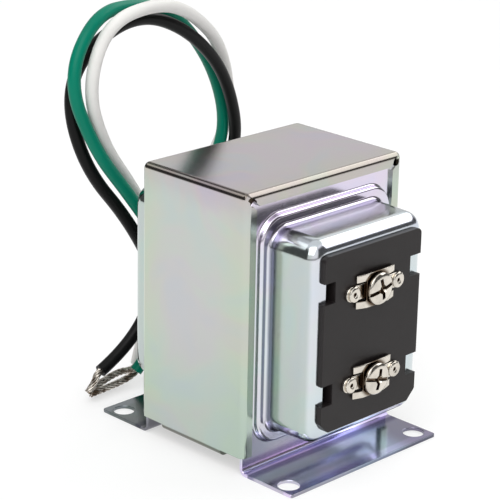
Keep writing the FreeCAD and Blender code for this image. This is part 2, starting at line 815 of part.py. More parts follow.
def ground_lug():
    """Ring lug: barrel on the green lead, neck stepping up to a ring flat against the rear bell."""
    x = green_bore[0]
    z0 = lug_z
    z1 = z0 + lug_barrel
    barrel = cylinder(splice_r, Vector(x, lead_plane, z0), ALONG_Z, lug_barrel)
    back = rear_inner
    front = rear_inner - lug_thickness
    low = lead_plane - lug_thickness / 2
    high = lead_plane + lug_thickness / 2
    step = z1 + lug_neck
    neck = [(high, z1 - lug_grip), (low, z1 - lug_grip), (low, z1), (front, step),
            (front, rivet_z), (back, rivet_z), (back, step), (high, z1)]
    points = [Vector(x - lug_width / 2, y, z) for y, z in neck]
    strap = Part.Face(Part.makePolygon(points + points[:1])).extrude(Vector(lug_width, 0, 0))
    ring = cylinder(lug_width / 2, Vector(x, front, rivet_z), ALONG_Y, lug_thickness)
    hole = cylinder(rivet_r, Vector(x, front - over, rivet_z), ALONG_Y, lug_thickness + 2 * over)
    return cut(fuse(barrel, strap, ring), hole)


def ground_rivet():
    x = green_bore[0]
    back = rear_inner - lug_thickness
    shank = cylinder(rivet_r, Vector(x, back, rivet_z), ALONG_Y, rear_face - back)
    outer = cylinder(rivet_head_r, Vector(x, rear_face, rivet_z), ALONG_Y, rivet_head)
    outer = outer.makeFillet(rivet_round, flat_edges(outer, rear_face + rivet_head))
    inner = cylinder(rivet_tail_r, Vector(x, back - rivet_tail, rivet_z), ALONG_Y, rivet_tail)
    return fuse(shank, outer, inner)


def model():
    """All pieces by name."""
    upper, lower = terminal_heights()
    secondary_holes = [(tag_ear_side, wire_z(upper, -1), wire_r), (tag_ear_side, wire_z(lower, 1), wire_r)]
    fuse_x = black_splice_x - splice_length - fuse_wire - fuse_length - wire_turn
    white_x = white_splice_x - splice_length - wire_turn
    primary_holes = [(-fuse_x, black_turn_z, fuse_wire_r), (-white_x, white_bore[1], fuse_wire_r)]
    pieces = {
        "front_bell": front_bell(),
        "rear_bell": rear_bell(),
        "case_wrap": case_wrap(),
        "core_e_stack": core_e_stack(),
        "core_i_stack": core_i_stack(),
        "core_pad": core_pad(),
        "core_packing": core_packing(),
        "bobbin": bobbin(),
        "primary_winding": winding(-1),
        "secondary_winding": winding(1),
        "primary_tape": tape(-1),
        "secondary_tape": tape(1),
        "front_insulator": insulator(secondary_holes),
        "rear_insulator": to_rear(insulator(primary_holes)),
        "terminal_board": terminal_board(),
        "lead_bushing": lead_bushing(),
        "black_lead_inner": black_lead_inner(),
        "white_lead_inner": white_lead_inner(),
        "green_lead_inner": green_lead_inner(),
        "black_splice": splice(black_splice_x, black_turn_z),
        "white_splice": splice(white_splice_x, white_bore[1]),
        "thermal_fuse": thermal_fuse(),
        "primary_wire": primary_wire(),
        "ground_lug": ground_lug(),
        "ground_rivet": ground_rivet(),
    }
    for name, bore, exit_length, route, tip in (
            ("black", black_bore, black_exit, black_route, black_tip),
            ("green", green_bore, green_exit, green_route, green_tip),
            ("white", white_bore, white_exit, white_route, white_tip)):
        pieces["lead_" + name] = free_lead(bore, exit_length, route)
        pieces["strands_" + name] = lead_strands(route, tip)
    for name, z, towards, turn in (("upper", upper, -1, slot_angle), ("lower", lower, 1, -slot_angle)):
        pieces["terminal_plate_" + name] = terminal_plate(z)
        pieces["eyelet_left_" + name] = eyelet(-eyelet_spacing / 2, z)
        pieces["eyelet_right_" + name] = eyelet(eyelet_spacing / 2, z)
        pieces["saddle_washer_" + name] = saddle_washer(z)
        pieces["terminal_screw_" + name] = terminal_screw(z, turn)
        pieces["solder_tag_" + name] = solder_tag(z, towards)
        pieces["secondary_wire_" + name] = secondary_wire(z, towards)
    return pieces


os.makedirs("parts", exist_ok=True)
for name, shape in model().items():
    shape.exportStep("parts/" + name + ".step")
    print(name, len(shape.Solids), round(shape.Volume, 1), shape.isValid())
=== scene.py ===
"""Doorbell transformer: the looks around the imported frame, laid out as a Blender add-on."""
import math
from functools import partial

import bmesh
import bpy
from mathutils import Matrix, Vector


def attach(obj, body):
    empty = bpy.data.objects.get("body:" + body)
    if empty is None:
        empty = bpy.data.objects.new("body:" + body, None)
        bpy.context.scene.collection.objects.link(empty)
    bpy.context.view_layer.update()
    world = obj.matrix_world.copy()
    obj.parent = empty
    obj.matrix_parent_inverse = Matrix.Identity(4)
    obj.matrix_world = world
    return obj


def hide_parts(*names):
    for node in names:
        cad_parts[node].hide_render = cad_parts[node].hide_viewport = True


bl_info = {
    "name": "Doorbell transformer",
    "version": (1, 0, 0),
    "blender": (4, 5, 0),
    "location": "View3D > Sidebar > Transformer",
    "description": "Sheet metal, terminals and supply leads of a small bell transformer",
    "category": "Object",
}

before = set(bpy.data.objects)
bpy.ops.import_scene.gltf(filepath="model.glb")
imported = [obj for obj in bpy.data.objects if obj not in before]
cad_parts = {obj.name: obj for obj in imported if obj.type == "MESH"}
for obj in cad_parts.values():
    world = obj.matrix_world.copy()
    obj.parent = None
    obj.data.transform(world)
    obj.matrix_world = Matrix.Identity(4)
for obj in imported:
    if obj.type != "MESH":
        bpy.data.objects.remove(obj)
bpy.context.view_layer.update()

BODY = "root"
MM = 0.001

# Wrap, in millimetres: planes of its side, face and top, and how far in from their corner the painted dark
# reflection line along a fold starts and is full
WRAP_SIDE = 25.8
WRAP_FACE = 17.35
WRAP_TOP = 68.4
FOLD_START = 1.4
FOLD_FULL = 1.25

# Bushing in the rear bell: its outer face, the bores of the leads as (x, z), in millimetres
BUSHING_FACE = 30.05
BLACK_BORE = (10.165, 30.95)
GREEN_BORE = (8.0, 34.7)
WHITE_BORE = (5.835, 30.95)

# Terminals, in millimetres: planes of the board's and the strips' faces, the terminals' places and sizes
BOARD_FACE = 32.55
STRIP_THICKNESS = 0.8
STRIP_FACE = BOARD_FACE + STRIP_THICKNESS
SADDLE_THICKNESS = 0.6
TERMINAL_MIDDLE = 34.1
TERMINAL_SPACING = 22.1
EYELET_SPACING = 14.6
STRIP_LENGTH = 19.2
STRIP_WIDTH = 3.6
STRIP_MIDDLE_R = 3.5

# Control points of the leads after the bore, in millimetres, and the points of their bared ends
BLACK_ROUTE = [
    (10.165, 41.05, 30.95), (17.5, 52.5, 32.5), (30, 53.5, 38.8), (37, 48.8, 53.2), (27.9, 44.8, 74.6),
    (13.3, 43, 88.5), (-3.4, 43, 95.5), (-20.5, 42.5, 89.9), (-27, 43, 78.4), (-23.8, 40, 61),
    (-10.4, 39, 44.8), (-2.2, 37.5, 28.4), (-8.9, 38, 13.4), (-20.9, 38, 8),
]
GREEN_ROUTE = [
    (8, 40.55, 34.7), (14.5, 52, 37), (28, 54, 42.5), (34.9, 51.5, 56.6), (28.2, 49.5, 75.2),
    (12.8, 47.5, 92.3), (-3.4, 44.5, 97.5), (-20, 40.5, 97.9), (-30.2, 38.5, 84.1), (-23.7, 36.5, 66.3),
    (-12.4, 36.5, 52.3), (-2.4, 37, 39.1), (2, 37, 25), (-0.2, 38, 11.9), (-7.4, 40, 3.6),
]
WHITE_ROUTE = [
    (5.835, 42.55, 30.95), (12.5, 55, 34.5), (29, 58, 40.8), (38.3, 53.4, 58.4), (28.9, 47, 81.1),
    (13.1, 42.3, 93.4), (-1.8, 38.5, 98.5), (-17.8, 38.5, 95.8), (-24.9, 37.5, 81.4), (-19.7, 38, 66.4),
    (-8.3, 40.5, 53.1), (0.3, 42.5, 40.4), (1.5, 43, 26.1), (-1.8, 43, 12.5), (-4, 43.5, 3.5),
]
BLACK_BARE = [(-22.6, 38, 5.6), (-24.8, 38.4, 3.1)]
GREEN_BARE = [(-14.5, 40.3, 1.6), (-22.8, 39.6, 1.8)]
WHITE_BARE = [(-13, 42.5, 3.9), (-21.8, 41, 1.9)]
LEADS = {
    "black": (BLACK_BORE, BLACK_ROUTE, BLACK_BARE),
    "green": (GREEN_BORE, GREEN_ROUTE, GREEN_BARE),
    "white": (WHITE_BORE, WHITE_ROUTE, WHITE_BARE),
}
# Radius of the bared conductor, and how far it runs straight out of the insulation, in millimetres
CONDUCTOR_R = 0.9
BARE_START = 1.5

# Camera of the photograph, in degrees, millimetres and pixels of a 500 by 500 picture
CAMERA_AZIMUTH = -45.04
CAMERA_ELEVATION = 19.52
CAMERA_ROLL = 1.17
CAMERA_DISTANCE = 490.7
CAMERA_FOCAL = 2050.4
CAMERA_AIM = (0.0, 0.0, 33.0)
CAMERA_SHIFT = (-4.85, 11.45)
PICTURE = 500
SENSOR = 36.0

# Studio, in metres: half size of the floor, how far it lies under the feet, its own light
FLOOR_HALF = 6.0
FLOOR_DROP = 2e-5
FLOOR_GLOW = 0.52


def colour_property(name, description, default):
    """Colour setting."""
    return bpy.props.FloatVectorProperty(
        name=name, description=description, subtype="COLOR", size=3, min=0, max=1, default=default)


def length_property(name, description, default, least, most):
    """Length setting in metres."""
    return bpy.props.FloatProperty(
        name=name, description=description, unit="LENGTH", min=least, max=most, default=default)


class SheetMetalSettings(bpy.types.PropertyGroup):
    wrap_colour: colour_property("Wrap colour", "Zinc plate of the folded wrap", (0.53, 0.555, 0.55))
    bell_colour: colour_property("Bell colour", "Zinc plate of the drawn bells", (0.67, 0.69, 0.74))
    tint: bpy.props.FloatProperty(
        name="Rainbow tint", description="Strength of the plating's faint colours", subtype="FACTOR",
        min=0, max=1, default=0.85)
    edge: length_property("Edge round", "Rounding of the cut sheet edges", 0.00012, 0, 0.0005)


class TerminalSettings(bpy.types.PropertyGroup):
    board_colour: colour_property("Board colour", "Moulded terminal board", (0.0135, 0.0105, 0.0105))
    nickel_colour: colour_property(
        "Nickel colour", "Plating of the screws, washers and strips", (0.78, 0.73, 0.65))
    edge: length_property("Board edge round", "Rounding of the board's edges", 0.0003, 0, 0.001)
    head_radius: length_property("Screw head radius", "Outside radius of the pan head", 0.00385, 0.002, 0.006)
    head_height: length_property(
        "Screw head height", "Height of the pan head over its underside", 0.0015, 0.0005, 0.002)
    slot_width: length_property("Slot width", "Width of the slot", 0.0009, 0.0004, 0.0015)
    slot_turn: bpy.props.FloatProperty(
        name="Slot turn", description="How far the slots are turned out of level", subtype="ANGLE",
        min=-math.pi, max=math.pi, default=math.radians(-12))
    ear_drop: length_property(
        "Ear drop", "How far the saddle's ears are bent back towards the board", 0.0007, 0, 0.0008)
    head_gap: length_property(
        "Head gap", "How far the screw head stands off the saddle washer", 0.00025, 0, 0.0005)


class LeadSettings(bpy.types.PropertyGroup):
    diameter: length_property("Lead diameter", "Over the insulation", 0.0032, 0.001, 0.006)
    strand_diameter: length_property(
        "Strand diameter", "One strand of the bared conductor", 0.00042, 0.0001, 0.001)
    lay_length: length_property(
        "Lay length", "Length over which the strands turn once", 0.011, 0.002, 0.05)
    black: colour_property("Black", "Insulation of the line lead", (0.004, 0.004, 0.004))
    green: colour_property("Green", "Insulation of the ground lead", (0.0, 0.20, 0.125))
    white: colour_property("White", "Insulation of the neutral lead", (0.82, 0.81, 0.785))


class StageSettings(bpy.types.PropertyGroup):
    floor_colour: colour_property("Floor colour", "Pale studio floor", (0.45, 0.45, 0.45))
    key_power: bpy.props.FloatProperty(
        name="Key light", description="Power of the large soft light, in watts", min=0, max=100, default=4)
    room: bpy.props.FloatProperty(
        name="Room", description="Brightness of the dim room between the soft boxes", min=0, max=2,
        default=0.09)
    boxes: bpy.props.FloatProperty(
        name="Soft boxes", description="Brightness of the soft boxes", min=0, max=5, default=1.0)


class TransformerSettings(bpy.types.PropertyGroup):
    metal: bpy.props.PointerProperty(type=SheetMetalSettings)
    terminals: bpy.props.PointerProperty(type=TerminalSettings)
    leads: bpy.props.PointerProperty(type=LeadSettings)
    stage: bpy.props.PointerProperty(type=StageSettings)


def add(tree, kind, inputs=None, **settings):
    """New node in a tree, with its settings, and its inputs given as values or as sockets to link."""
    item = tree.nodes.new(kind)
    for key, value in settings.items():
        setattr(item, key, value)
    for key, value in (inputs or {}).items():
        if isinstance(value, bpy.types.NodeSocket):
            tree.links.new(value, item.inputs[key])
        else:
            item.inputs[key].default_value = value
    return item


def new_group(name, inputs, outputs, kind="ShaderNodeTree"):
    """Empty node group with inputs as (name, type, value) and outputs: the tree and its inner sockets."""
    tree = bpy.data.node_groups.new(name, kind)
    for label, carries, value in inputs:
        socket = tree.interface.new_socket(label, in_out="INPUT", socket_type="NodeSocket" + carries)
        if value is not None:
            socket.default_value = value
    for label, carries in outputs:
        tree.interface.new_socket(label, in_out="OUTPUT", socket_type="NodeSocket" + carries)
    start = tree.nodes.new("NodeGroupInput")
    end = tree.nodes.new("NodeGroupOutput")
    return tree, start.outputs, end.inputs


def node_maths(tree, operation, *values, clamp=False):
    """Result of a new maths node, with its inputs in order."""
    return add(tree, "ShaderNodeMath", dict(enumerate(values)), operation=operation,
               use_clamp=clamp).outputs[0]


def vector(tree, **axes):
    """Vector put together from its axes."""
    return add(tree, "ShaderNodeCombineXYZ", axes).outputs[0]


def length_of(tree, value):
    """Length of a vector."""
    return add(tree, "ShaderNodeVectorMath", {0: value}, operation="LENGTH").outputs["Value"]


def noise(tree, place, scale, detail, roughness, distortion=0.0):
    """Noise value at a place."""
    return add(tree, "ShaderNodeTexNoise", {
        "Vector": place, "Scale": scale, "Detail": detail, "Roughness": roughness,
        "Distortion": distortion}).outputs["Fac"]


def mixed(tree, factor, first, second, blend="MIX"):
    """Colour between two others."""
    return add(tree, "ShaderNodeMix", {"Factor": factor, "A": first, "B": second}, data_type="RGBA",
               blend_type=blend).outputs["Result"]


def soft_step(tree, value, start, full):
    """0 on one side of a border and 1 on the other."""
    return add(tree, "ShaderNodeMapRange", {"Value": value, "From Min": start, "From Max": full},
               interpolation_type="SMOOTHSTEP").outputs["Result"]


def ramp(tree, factor, stops):
    """Colour ramp with its stops as (place, colour)."""
    item = add(tree, "ShaderNodeValToRGB", {"Fac": factor})
    points = item.color_ramp.elements
    while len(points) < len(stops):
        points.new(0.5)
    for point, (place, colour) in zip(points, stops):
        point.position = place
        point.color = (*colour, 1)
    return item.outputs["Color"]


def plating_tint():
    """Faint colours of a clear chromate film, in soft patches."""
    tree, given, out = new_group("plating_tint", [
        ("Vector", "Vector", None), ("Base", "Color", (0.7, 0.7, 0.7, 1)),
        ("Scale", "Float", 30.0), ("Amount", "Float", 0.5)],
        [("Color", "Color")])
    film = ramp(tree, noise(tree, given["Vector"], given["Scale"], 3.0, 0.5, 0.9), [
        (0.32, (0.90, 0.95, 1.0)), (0.42, (0.92, 0.99, 0.95)), (0.49, (0.98, 0.98, 0.93)),
        (0.56, (1.0, 0.94, 0.96)), (0.66, (0.94, 0.93, 1.0))])
    tree.links.new(mixed(tree, given["Amount"], given["Base"], film, "MULTIPLY"), out["Color"])
    return tree


def zone_tint():
    """Colour that is tinted past a soft, uneven border along one direction."""
    tree, given, out = new_group("zone_tint", [
        ("Vector", "Vector", None), ("Along", "Float", 0.0),
        ("Base", "Color", (0.7, 0.7, 0.7, 1)), ("Tint", "Color", (1, 1, 1, 1)),
        ("From", "Float", 0.0), ("To", "Float", 0.01),
        ("Unevenness", "Float", 0.004)],
        [("Color", "Color")])
    maths = partial(node_maths, tree)
    waver = maths("SUBTRACT", noise(tree, given["Vector"], 70.0, 2.0, 0.5), 0.5)
    moved = maths("MULTIPLY_ADD", waver, given["Unevenness"], given["Along"])
    zone = soft_step(tree, moved, given["From"], given["To"])
    tree.links.new(mixed(tree, zone, given["Base"], given["Tint"], "MULTIPLY"), out["Color"])
    return tree


def recess_mask():
    """Mask of painted shade in the terminals' recesses: screw slots, gaps round the screw heads and bores of
    the eyelets.
    """
    tree, given, out = new_group("recess_mask", [
        ("Vector", "Vector", None), ("Middle", "Float", MM * TERMINAL_MIDDLE),
        ("Spacing", "Float", MM * TERMINAL_SPACING),
        ("Across", "Float", MM * EYELET_SPACING), ("Head Radius", "Float", 0.00385),
        ("Strip Face", "Float", MM * STRIP_FACE)],
        [("Mask", "Float")])
    maths = partial(node_maths, tree)

    def within(value, limit, border):
        return soft_step(tree, value, limit, maths("SUBTRACT", limit, border))
    head_inset = 0.0001
    head_face = 0.0019
    gap_width = 0.0012
    bore_radius = 0.0008
    bore_face = 0.00045
    narrow = 0.0003
    place = add(tree, "ShaderNodeSeparateXYZ", {"Vector": given["Vector"]}).outputs
    height = maths("SUBTRACT", maths("ABSOLUTE", maths("SUBTRACT", place["Z"], given["Middle"])),
                   maths("MULTIPLY", given["Spacing"], 0.5))
    beside = maths("SUBTRACT", maths("ABSOLUTE", place["X"]), maths("MULTIPLY", given["Across"], 0.5))
    from_screw = length_of(tree, vector(tree, X=place["X"], Y=height))
    from_eyelet = length_of(tree, vector(tree, X=beside, Y=height))
    over_strip = maths("SUBTRACT", maths("MULTIPLY", place["Y"], -1.0), given["Strip Face"])
    slots = maths("MULTIPLY", within(from_screw, maths("SUBTRACT", given["Head Radius"], head_inset), 0.0002),
                  within(over_strip, head_face, narrow))
    gaps = maths("MULTIPLY", within(from_screw, maths("ADD", given["Head Radius"], gap_width), 0.0011),
                 within(over_strip, head_face, 0.0009))
    bores = maths("MULTIPLY", within(from_eyelet, bore_radius, narrow), within(over_strip, bore_face, narrow))
    tree.links.new(maths("MAXIMUM", maths("MAXIMUM", slots, gaps), bores), out["Mask"])
    return tree


def surface_grain():
    """Roughness that varies in smudges and fine grain, and a height for the bump."""
    tree, given, out = new_group("surface_grain", [
        ("Vector", "Vector", None), ("Scale", "Float", 800.0),
        ("Smudge Scale", "Float", 60.0), ("Roughness", "Float", 0.3),
        ("Spread", "Float", 0.1)],
        [("Roughness", "Float"), ("Height", "Float")])
    maths = partial(node_maths, tree)
    fine = noise(tree, given["Vector"], given["Scale"], 4.0, 0.6)
    smudge = noise(tree, given["Vector"], given["Smudge Scale"], 3.0, 0.55, 0.8)
    centred = maths("SUBTRACT", maths("ADD", fine, smudge), 1.0)
    tree.links.new(maths("MULTIPLY_ADD", centred, given["Spread"], given["Roughness"], clamp=True),
                   out["Roughness"])
    tree.links.new(fine, out["Height"])
    return tree


def shade_variation():
    """Base colour made a little lighter and darker in mottles."""
    tree, given, out = new_group("shade_variation", [
        ("Vector", "Vector", None), ("Base", "Color", (0.5, 0.5, 0.5, 1)),
        ("Dark", "Color", (0.3, 0.3, 0.3, 1)), ("Scale", "Float", 200.0),
        ("Contrast", "Float", 2.0)],
        [("Color", "Color")])
    maths = partial(node_maths, tree)
    mottle = maths("SUBTRACT", noise(tree, given["Vector"], given["Scale"], 4.0, 0.6), 0.5)
    factor = maths("MULTIPLY_ADD", mottle, given["Contrast"], 0.5, clamp=True)
    tree.links.new(mixed(tree, factor, given["Dark"], given["Base"]), out["Color"])
    return tree


COAT_ROUGHNESS = 0.15

# Shared shader groups by name, which the first operator fills in
groups = {}


def shared(tree, name, values):
    """Outputs of one of the shared groups, used in a tree."""
    return add(tree, "ShaderNodeGroup", values, node_tree=groups[name]).outputs


def new_material(name):
    """New material: itself, its node tree, its shader and the place in object coordinates."""
    material = bpy.data.materials.new(name)
    material.use_nodes = True
    tree = material.node_tree
    place = add(tree, "ShaderNodeTexCoord").outputs["Object"]
    return material, tree, tree.nodes["Principled BSDF"], place


def finish_surface(tree, shader, place, rough, spread, grain_scale, bump, depth, smudge_scale=60.0):
    """Grain of a surface, in its roughness and as a fine bump."""
    grain = shared(tree, "surface_grain", {
        "Vector": place, "Scale": grain_scale, "Smudge Scale": smudge_scale, "Roughness": rough,
        "Spread": spread})
    relief = add(tree, "ShaderNodeBump", {"Strength": bump, "Distance": depth, "Height": grain["Height"]})
    tree.links.new(grain["Roughness"], shader.inputs["Roughness"])
    tree.links.new(relief.outputs["Normal"], shader.inputs["Normal"])


def build_material(name, base, dark, metallic, rough, spread, scale, contrast, grain_scale, bump, depth,
                   coat=0.0, specular=0.5):
    """Material with a mottled colour and a grained surface."""
    material, tree, shader, place = new_material(name)
    colour = shared(tree, "shade_variation", {
        "Vector": place, "Base": (*base, 1), "Dark": (*dark, 1), "Scale": scale, "Contrast": contrast})
    tree.links.new(colour["Color"], shader.inputs["Base Color"])
    finish_surface(tree, shader, place, rough, spread, grain_scale, bump, depth)
    for key, value in (("Metallic", metallic), ("Coat Weight", coat), ("Coat Roughness", COAT_ROUGHNESS),
                       ("Specular IOR Level", specular)):
        shader.inputs[key].default_value = value
    return material


# Finishes by name: base colour, darker colour, metallic, roughness, its spread, pattern scale, contrast,
# grain scale, bump strength, bump depth in metres, coat weight
FINISHES = {
    "lamination_steel": (
        (0.20, 0.20, 0.21), (0.11, 0.11, 0.12), 0.9, 0.5, 0.2, 150, 3.0, 1500, 0.3, 5e-5, 0.0),
    "pressboard": (
        (0.16, 0.12, 0.08), (0.10, 0.075, 0.05), 0.0, 0.8, 0.15, 500, 3.0, 2500, 0.5, 6e-5, 0.0),
    "nylon_white": (
        (0.75, 0.73, 0.66), (0.66, 0.64, 0.57), 0.0, 0.45, 0.1, 80, 1.5, 900, 0.15, 2e-5, 0.1),
    "nylon_black": (
        (0.016, 0.016, 0.017), (0.009, 0.009, 0.010), 0.0, 0.42, 0.15, 200, 2.0, 1400, 0.25, 3e-5, 0.1),
    "magnet_wire": (
        (0.45, 0.15, 0.05), (0.28, 0.08, 0.025), 0.8, 0.3, 0.15, 900, 3.0, 2500, 0.6, 8e-5, 0.4),
    "coil_tape": (
        (0.62, 0.46, 0.06), (0.52, 0.37, 0.04), 0.0, 0.35, 0.1, 120, 2.0, 700, 0.2, 3e-5, 0.4),
    "splice_nylon": (
        (0.60, 0.56, 0.45), (0.50, 0.46, 0.36), 0.0, 0.45, 0.1, 300, 2.0, 900, 0.2, 2e-5, 0.1),
    "tinned_copper": (
        (0.74, 0.70, 0.64), (0.13, 0.09, 0.06), 1.0, 0.30, 0.15, 700, 5.0, 1800, 0.2, 2e-5, 0.0),
    "fuse_metal": (
        (0.62, 0.62, 0.60), (0.50, 0.50, 0.49), 1.0, 0.35, 0.15, 200, 2.0, 1200, 0.2, 2e-5, 0.0),
}


def plain_finish(name):
    """One of the finishes above as a material."""
    return build_material(name, *FINISHES[name])


# Zones tinted over the plating: a direction, whether the coordinate along it is taken without its sign, where
# the tint starts and where it is full, how far its border wavers, in millimetres, and the tint; some are the
# film's colours, and some are painted shade, painted dark reflection and painted highlight, as marked
SIDE_FOLD = (WRAP_SIDE + WRAP_TOP - FOLD_START, WRAP_SIDE + WRAP_TOP - FOLD_FULL)
FACE_FOLD = (WRAP_FACE + WRAP_TOP - FOLD_START, WRAP_FACE + WRAP_TOP - FOLD_FULL)
WRAP_ZONES = (
    ((0, 1, 0), True, 6, 16.5, 4, (0.99, 1.03, 0.91)),
    ((0, 0, 1), False, 60, 67, 4, (0.97, 0.865, 0.935)),
    ((0, 0, 1), False, 34, 8, 8, (0.95, 1.01, 0.96)),
    # Painted dark reflections: dark lines along the rounded folds of the top
    ((-1, 0, 1), False, *SIDE_FOLD, 0, (0.42, 0.40, 0.37)),
    ((1, 0, 1), False, *SIDE_FOLD, 0, (0.42, 0.40, 0.37)),
    ((0, -1, 1), False, *FACE_FOLD, 0, (0.62, 0.60, 0.58)),
    ((0, 1, 1), False, *FACE_FOLD, 0, (0.62, 0.60, 0.58)),
    # Painted shadow: a dark band along the wrap's bottom edge
    ((0, 0, 1), False, 4.7, 4.2, 0.4, (0.32, 0.30, 0.27)),
)
DOME_ZONES = (
    # Painted shade and highlight: the walls beyond it stay darker and greener than the front, which the third
    # zone paints brighter.
    # Painted shade: a dark band in the fillet at the dome's root.
    ((0, 1, 0), True, 18.2, 18.7, 0.3, (0.36, 0.38, 0.44)),
    ((0, 1, 0), True, 19.6, 21.2, 0.6, (2.05, 2.15, 1.68)),
    ((0, 1, 0), True, 29.5, 30.5, 0.6, (1.30, 1.22, 1.32)),
    ((0, 0, 1), False, 54, 58.5, 3, (1.06, 0.965, 1.06)),
)
FRONT_BELL_ZONES = (
    *DOME_ZONES,
    ((0, 0, 1), False, 4.5, 1.5, 2, (1.18, 0.98, 1.25)),
    # Painted shade on the foot: these three zones darken it towards its right end and along its front edge
    ((1, 0, -6), False, -14, 0, 4, (0.66, 0.79, 0.88)),
    ((0, 1, 0), True, 32.1, 32.4, 0, (0.45, 0.50, 0.45)),
    ((1, 0, -3), False, 7, 16, 4, (0.60, 0.50, 0.50)),
)
REAR_BELL_ZONES = (
    *DOME_ZONES,
    # Painted dark reflection: the rear bell's foot made nearly black
    ((0, 0, 1), False, 9, 2, 2, (0.30, 0.30, 0.31)),
)


def zinc_material(name, colour, tint, tint_scale, rough, zones):
    """Bright zinc plate with the film's faint colours and zones of painted shade, reflection and highlight.
    """
    material, tree, shader, place = new_material(name)
    result = shared(tree, "plating_tint", {
        "Vector": place, "Base": (*colour, 1), "Scale": tint_scale, "Amount": tint})["Color"]
    for direction, unsigned, start, full, waver, zone_colour in zones:
        along = add(tree, "ShaderNodeVectorMath", {0: place, 1: direction},
                    operation="DOT_PRODUCT").outputs["Value"]
        if unsigned:
            along = node_maths(tree, "ABSOLUTE", along)
        result = shared(tree, "zone_tint", {
            "Vector": place, "Along": along, "Base": result, "Tint": (*zone_colour, 1), "From": MM * start,
            "To": MM * full, "Unevenness": MM * waver})["Color"]
    tree.links.new(result, shader.inputs["Base Color"])
    finish_surface(tree, shader, place, rough, spread=0.06, grain_scale=900, bump=0.12, depth=2e-5,
                   smudge_scale=45)
    shader.inputs["Metallic"].default_value = 1.0
    return material


def recess_shaded_copy(material, shade_colour, head_radius):
    """The same finish with painted shade, dark brown, in the terminals' recesses and round the screw heads.
    """
    recess_shaded = material.copy()
    recess_shaded.name = material.name + "_soiled"
    tree = recess_shaded.node_tree
    colour = tree.nodes["Principled BSDF"].inputs["Base Color"]
    place = add(tree, "ShaderNodeTexCoord").outputs["Object"]
    mask = shared(tree, "recess_mask", {"Vector": place, "Head Radius": head_radius})["Mask"]
    tree.links.new(mixed(tree, mask, colour.links[0].from_socket, (*shade_colour, 1)), colour)
    return recess_shaded


def link_object(name, data):
    """New object in the scene."""
    piece = bpy.data.objects.new(name, data)
    bpy.context.scene.collection.objects.link(piece)
    return piece


def drop(*items):
    """Removes helper objects and their meshes."""
    for item in items:
        mesh = item.data
        bpy.data.objects.remove(item)
        bpy.data.meshes.remove(mesh)


def evaluated_mesh(item):
    """New plain mesh of an object as its modifiers or its curve settings show it."""
    graph = bpy.context.evaluated_depsgraph_get()
    graph.update()
    return bpy.data.meshes.new_from_object(item.evaluated_get(graph))


def applied(piece):
    """Turns a piece's modifiers into its own plain mesh."""
    mesh = evaluated_mesh(piece)
    piece.modifiers.clear()
    old = piece.data
    piece.data = mesh
    mesh.name = piece.name
    if old.users == 0:
        bpy.data.meshes.remove(old)
    return piece


def rounded_edges(piece, edge, segments=2, sharp=35):
    """Rounds a piece's edges over an angle and keeps its flats evenly shaded."""
    bevel = piece.modifiers.new("edges", "BEVEL")
    bevel.width = edge
    bevel.segments = segments
    bevel.limit_method = "ANGLE"
    bevel.angle_limit = math.radians(sharp)
    weights = piece.modifiers.new("even_flats", "WEIGHTED_NORMAL")
    weights.keep_sharp = True
    piece.data.shade_smooth()
    piece.data.set_sharp_from_angle(angle=math.radians(sharp + 20))
    return applied(piece)


def merged_copy(node_name):
    """A CAD node's mesh as a new closed mesh without its loose triangles."""
    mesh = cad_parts[node_name].data.copy()
    mesh.materials.clear()
    for name in [item.name for item in mesh.attributes if item.name in ("custom_normal", "sharp_edge")]:
        mesh.attributes.remove(mesh.attributes[name])
    shell = bmesh.new()
    shell.from_mesh(mesh)
    bmesh.ops.remove_doubles(shell, verts=shell.verts, dist=2e-6)
    bmesh.ops.dissolve_limit(shell, angle_limit=math.radians(0.5), verts=shell.verts, edges=shell.edges)
    shell.to_mesh(mesh)
    shell.free()
    return mesh


def refined(piece_name, node_name, material, edge):
    """A CAD node's shape with its sharp edges rounded, standing for the node."""
    piece = link_object(piece_name, merged_copy(node_name))
    rounded_edges(piece, edge)
    piece.data.materials.append(material)
    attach(piece, BODY)
    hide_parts(node_name)


def dress(node_names, material):
    """Gives carried-over CAD nodes a new material."""
    for name in node_names:
        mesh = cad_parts[name].data
        mesh.materials.clear()
        mesh.materials.append(material)


class TRANSFORMER_OT_groups(bpy.types.Operator):
    """Shader node groups that the materials share"""
    bl_idname = "transformer.groups"
    bl_label = "Shared surface groups"

    def execute(self, context):
        for build in (plating_tint, zone_tint, recess_mask, surface_grain, shade_variation):
            groups[build.__name__] = build()
        return {"FINISHED"}


class TRANSFORMER_OT_sheet_metal(bpy.types.Operator):
    """Drawn bells and folded wrap in bright zinc plate"""
    bl_idname = "transformer.sheet_metal"
    bl_label = "Sheet metal"

    def execute(self, context):
        metal = context.scene.transformer.metal
        bell_tint = metal.tint * 0.7
        parts = (
            ("wrap", "case_wrap", "zinc_wrap", metal.wrap_colour, metal.tint, 45.0, 0.17, WRAP_ZONES),
            ("bell_front", "front_bell", "zinc_bell", metal.bell_colour, bell_tint, 55.0, 0.15,
             FRONT_BELL_ZONES),
            ("bell_rear", "rear_bell", "zinc_rear_bell", metal.bell_colour, bell_tint, 55.0, 0.15,
             REAR_BELL_ZONES),
        )
        for piece, node, *finish in parts:
            refined(piece, node, zinc_material(*finish), metal.edge)
        return {"FINISHED"}


class TRANSFORMER_OT_core(bpy.types.Operator):
    """Core, coil and wiring inside the case"""
    bl_idname = "transformer.core"
    bl_label = "Core and coil"

    def execute(self, context):
        dress(["core_e_stack", "core_i_stack"], plain_finish("lamination_steel"))
        dress(["core_pad", "core_packing", "front_insulator", "rear_insulator"], plain_finish("pressboard"))
        dress(["bobbin"], plain_finish("nylon_white"))
        dress(["primary_winding", "secondary_winding", "primary_wire", "secondary_wire_upper",
               "secondary_wire_lower"], plain_finish("magnet_wire"))
        dress(["primary_tape", "secondary_tape"], plain_finish("coil_tape"))
        dress(["black_splice", "white_splice"], plain_finish("splice_nylon"))
        dress(["thermal_fuse"], plain_finish("fuse_metal"))
        return {"FINISHED"}


